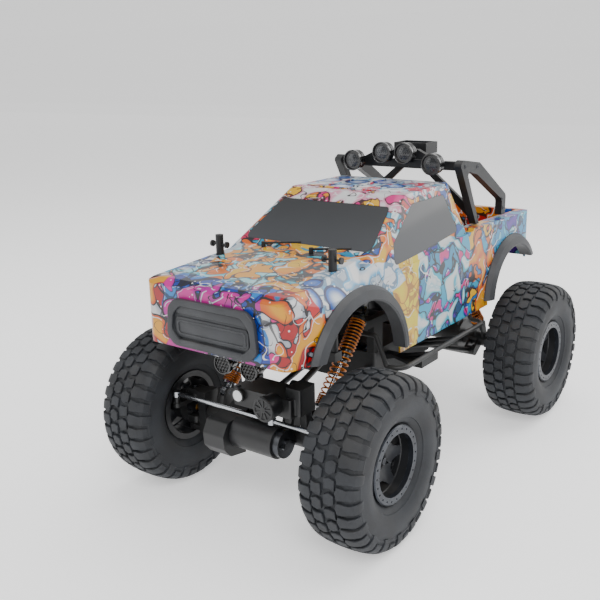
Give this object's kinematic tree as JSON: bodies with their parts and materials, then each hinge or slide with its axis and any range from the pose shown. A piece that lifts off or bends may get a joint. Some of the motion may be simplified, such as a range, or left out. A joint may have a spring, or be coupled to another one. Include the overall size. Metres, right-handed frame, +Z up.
{
  "type": "remote control rock crawler truck",
  "caption": "Radio controlled rock crawler with sprung solid axles, steered and driven wheels, a tub chassis and a pickup truck body with a roll bar and lamps.",
  "frame": {"origin": "on the ground, under the middle of the wheelbase, on the centre line", "axes": "+Z up, -Y towards the front bumper, +X towards the truck's left side"},
  "size_m": [0.25, 0.424, 0.2721],
  "materials": {
    "tyre": "matt rubber",
    "rim": "satin moulded",
    "steel": "bright",
    "black_plastic": "satin moulded",
    "gloss_black": "glossy moulded",
    "spring_copper": "copper-orange",
    "printed_shell": "printed multicolour, glossy",
    "window": "dark smoked, opaque",
    "grey_plastic": "satin grey",
    "motor_steel": "satin",
    "brass_gear": "machined",
    "battery_wrap": "shrink wrap"
  },
  "bodies": {
    "chassis": {"chassis_tub": "black_plastic", "frame_rails": "black_plastic", "chassis_pins": "steel", "battery_pack": "battery_wrap", "receiver": "gloss_black", "fog_lights": "gloss_black", "rock_sliders": "black_plastic", "body_shell": "printed_shell", "window_glass": "window", "grille": "grey_plastic", "fender_flares": "grey_plastic", "wipers": "gloss_black", "body_clips": "steel", "roll_bar": "black_plastic", "light_pods": "gloss_black"},
    "front_lower_links": {"front_lower_links": "black_plastic"},
    "front_upper_links": {"front_upper_links": "black_plastic"},
    "front_axle": {"front_axle_housing": "black_plastic", "front_diff_guard": "black_plastic", "front_drive_motor": "motor_steel", "front_axle_pins": "steel", "kingpin_screws": "steel", "steering_gearbox": "gloss_black"},
    "front_shock_bodies": {"front_shock_bodies": "gloss_black", "front_springs": "spring_copper"},
    "front_shock_rods": {"front_shock_rods": "gloss_black"},
    "front_diff": {"front_drive_gear": "steel"},
    "front_pinion": {"front_pinion": "brass_gear"},
    "knuckle_left": {"knuckle_left": "black_plastic"},
    "knuckle_right": {"knuckle_right": "black_plastic"},
    "tie_rod": {"tie_rod": "steel"},
    "servo_arm": {"servo_arm": "black_plastic"},
    "rear_lower_links": {"rear_lower_links": "black_plastic"},
    "rear_upper_links": {"rear_upper_links": "black_plastic"},
    "rear_axle": {"rear_axle_housing": "black_plastic", "rear_diff_guard": "black_plastic", "rear_drive_motor": "motor_steel", "rear_axle_pins": "steel", "rear_bearings": "steel"},
    "rear_shock_bodies": {"rear_shock_bodies": "gloss_black", "rear_springs": "spring_copper"},
    "rear_shock_rods": {"rear_shock_rods": "gloss_black"},
    "rear_diff": {"rear_drive_gear": "steel"},
    "rear_pinion": {"rear_pinion": "brass_gear"},
    "wheel_front_left": {"tyre_front_left": "tyre", "rim_front_left": "rim", "bead_ring_front_left": "rim", "hub_front_left": "steel"},
    "wheel_front_right": {"tyre_front_right": "tyre", "rim_front_right": "rim", "bead_ring_front_right": "rim", "hub_front_right": "steel"},
    "wheel_rear_left": {"tyre_rear_left": "tyre", "rim_rear_left": "rim", "bead_ring_rear_left": "rim", "hub_rear_left": "steel"},
    "wheel_rear_right": {"tyre_rear_right": "tyre", "rim_rear_right": "rim", "bead_ring_rear_right": "rim", "hub_rear_right": "steel"}
  },
  "joints": [
    {"name": "front_suspension", "type": "hinge", "parent": "chassis", "child": "front_lower_links", "pos_m": [0, -0.052, 0.084], "axis": [1, 0, 0], "range_deg": [-8, 8], "stiffness_Nm_per_rad": 28},
    {"name": "front_upper_link_pivot", "type": "hinge", "parent": "chassis", "child": "front_upper_links", "pos_m": [0, -0.052, 0.127], "axis": [1, 0, 0], "range_deg": [-8, 8]},
    {"name": "front_axle_pivot", "type": "hinge", "parent": "front_lower_links", "child": "front_axle", "pos_m": [0, -0.132, 0.057], "axis": [1, 0, 0], "range_deg": [-8, 8]},
    {"name": "front_shock_pivot", "type": "hinge", "parent": "chassis", "child": "front_shock_bodies", "pos_m": [0, -0.078, 0.152], "axis": [1, 0, 0], "range_deg": [-8, 8]},
    {"name": "front_shock_travel", "type": "slide", "parent": "front_shock_bodies", "child": "front_shock_rods", "axis": [0, -0.6738, -0.739], "range_m": [-0.008, 0.008], "deforming": ["front_springs"]},
    {"name": "front_drive", "type": "hinge", "parent": "front_axle", "child": "front_diff", "pos_m": [0, -0.146, 0.066], "axis": [1, 0, 0], "continuous": true},
    {"name": "front_pinion_spin", "type": "hinge", "parent": "front_axle", "child": "front_pinion", "pos_m": [0, -0.16513, 0.06767], "axis": [1, 0, 0], "continuous": true},
    {"name": "front_left_wheel_spin", "type": "hinge", "parent": "knuckle_left", "child": "wheel_front_left", "pos_m": [0.1, -0.146, 0.066], "axis": [1, 0, 0], "continuous": true},
    {"name": "front_right_wheel_spin", "type": "hinge", "parent": "knuckle_right", "child": "wheel_front_right", "pos_m": [-0.1, -0.146, 0.066], "axis": [1, 0, 0], "continuous": true},
    {"name": "rear_suspension", "type": "hinge", "parent": "chassis", "child": "rear_lower_links", "pos_m": [0, 0.052, 0.084], "axis": [-1, 0, 0], "range_deg": [-8, 8], "stiffness_Nm_per_rad": 28},
    {"name": "rear_upper_link_pivot", "type": "hinge", "parent": "chassis", "child": "rear_upper_links", "pos_m": [0, 0.052, 0.127], "axis": [-1, 0, 0], "range_deg": [-8, 8]},
    {"name": "rear_axle_pivot", "type": "hinge", "parent": "rear_lower_links", "child": "rear_axle", "pos_m": [0, 0.132, 0.057], "axis": [-1, 0, 0], "range_deg": [-8, 8]},
    {"name": "rear_shock_pivot", "type": "hinge", "parent": "chassis", "child": "rear_shock_bodies", "pos_m": [0, 0.078, 0.152], "axis": [-1, 0, 0], "range_deg": [-8, 8]},
    {"name": "rear_shock_travel", "type": "slide", "parent": "rear_shock_bodies", "child": "rear_shock_rods", "axis": [0, 0.6738, -0.739], "range_m": [-0.008, 0.008], "deforming": ["rear_springs"]},
    {"name": "rear_drive", "type": "hinge", "parent": "rear_axle", "child": "rear_diff", "pos_m": [0, 0.146, 0.066], "axis": [1, 0, 0], "continuous": true},
    {"name": "rear_pinion_spin", "type": "hinge", "parent": "rear_axle", "child": "rear_pinion", "pos_m": [0, 0.16513, 0.06767], "axis": [1, 0, 0], "continuous": true},
    {"name": "rear_left_wheel_spin", "type": "hinge", "parent": "rear_axle", "child": "wheel_rear_left", "pos_m": [0.1, 0.146, 0.066], "axis": [1, 0, 0], "continuous": true},
    {"name": "rear_right_wheel_spin", "type": "hinge", "parent": "rear_axle", "child": "wheel_rear_right", "pos_m": [-0.1, 0.146, 0.066], "axis": [1, 0, 0], "continuous": true},
    {"name": "steering", "type": "hinge", "parent": "front_axle", "child": "knuckle_left", "pos_m": [0.076, -0.146, 0.066], "axis": [0, 0, 1], "range_deg": [-25, 25]},
    {"name": "steer_right", "type": "hinge", "parent": "front_axle", "child": "knuckle_right", "pos_m": [-0.076, -0.146, 0.066], "axis": [0, 0, 1], "range_deg": [-25, 25]},
    {"name": "tie_rod_pivot", "type": "hinge", "parent": "knuckle_left", "child": "tie_rod", "pos_m": [0.076, -0.168, 0.085], "axis": [0, 0, 1], "range_deg": [-25, 25]},
    {"name": "servo_arm_turn", "type": "hinge", "parent": "front_axle", "child": "servo_arm", "pos_m": [0.024, -0.146, 0.095], "axis": [0, 0, 1], "range_deg": [-25, 25]}
  ],
  "couplings": [
    {"joint": "front_upper_link_pivot", "follows": "front_suspension", "ratio": 1},
    {"joint": "front_axle_pivot", "follows": "front_suspension", "ratio": -1},
    {"joint": "front_shock_pivot", "follows": "front_suspension", "ratio": 0.8035},
    {"joint": "front_shock_travel", "follows": "front_suspension", "m_per_rad": 0.04088},
    {"joint": "front_drive", "follows": "front_left_wheel_spin", "ratio": 1},
    {"joint": "front_pinion_spin", "follows": "front_left_wheel_spin", "ratio": -3},
    {"joint": "front_right_wheel_spin", "follows": "front_left_wheel_spin", "ratio": 1},
    {"joint": "rear_upper_link_pivot", "follows": "rear_suspension", "ratio": 1},
    {"joint": "rear_axle_pivot", "follows": "rear_suspension", "ratio": -1},
    {"joint": "rear_shock_pivot", "follows": "rear_suspension", "ratio": 0.8035},
    {"joint": "rear_shock_travel", "follows": "rear_suspension", "m_per_rad": 0.04088},
    {"joint": "rear_drive", "follows": "rear_left_wheel_spin", "ratio": 1},
    {"joint": "rear_pinion_spin", "follows": "rear_left_wheel_spin", "ratio": -3},
    {"joint": "rear_right_wheel_spin", "follows": "rear_left_wheel_spin", "ratio": 1},
    {"joint": "steer_right", "follows": "steering", "ratio": 1},
    {"joint": "tie_rod_pivot", "follows": "steering", "ratio": -1},
    {"joint": "servo_arm_turn", "follows": "steering", "ratio": 1}
  ]
}
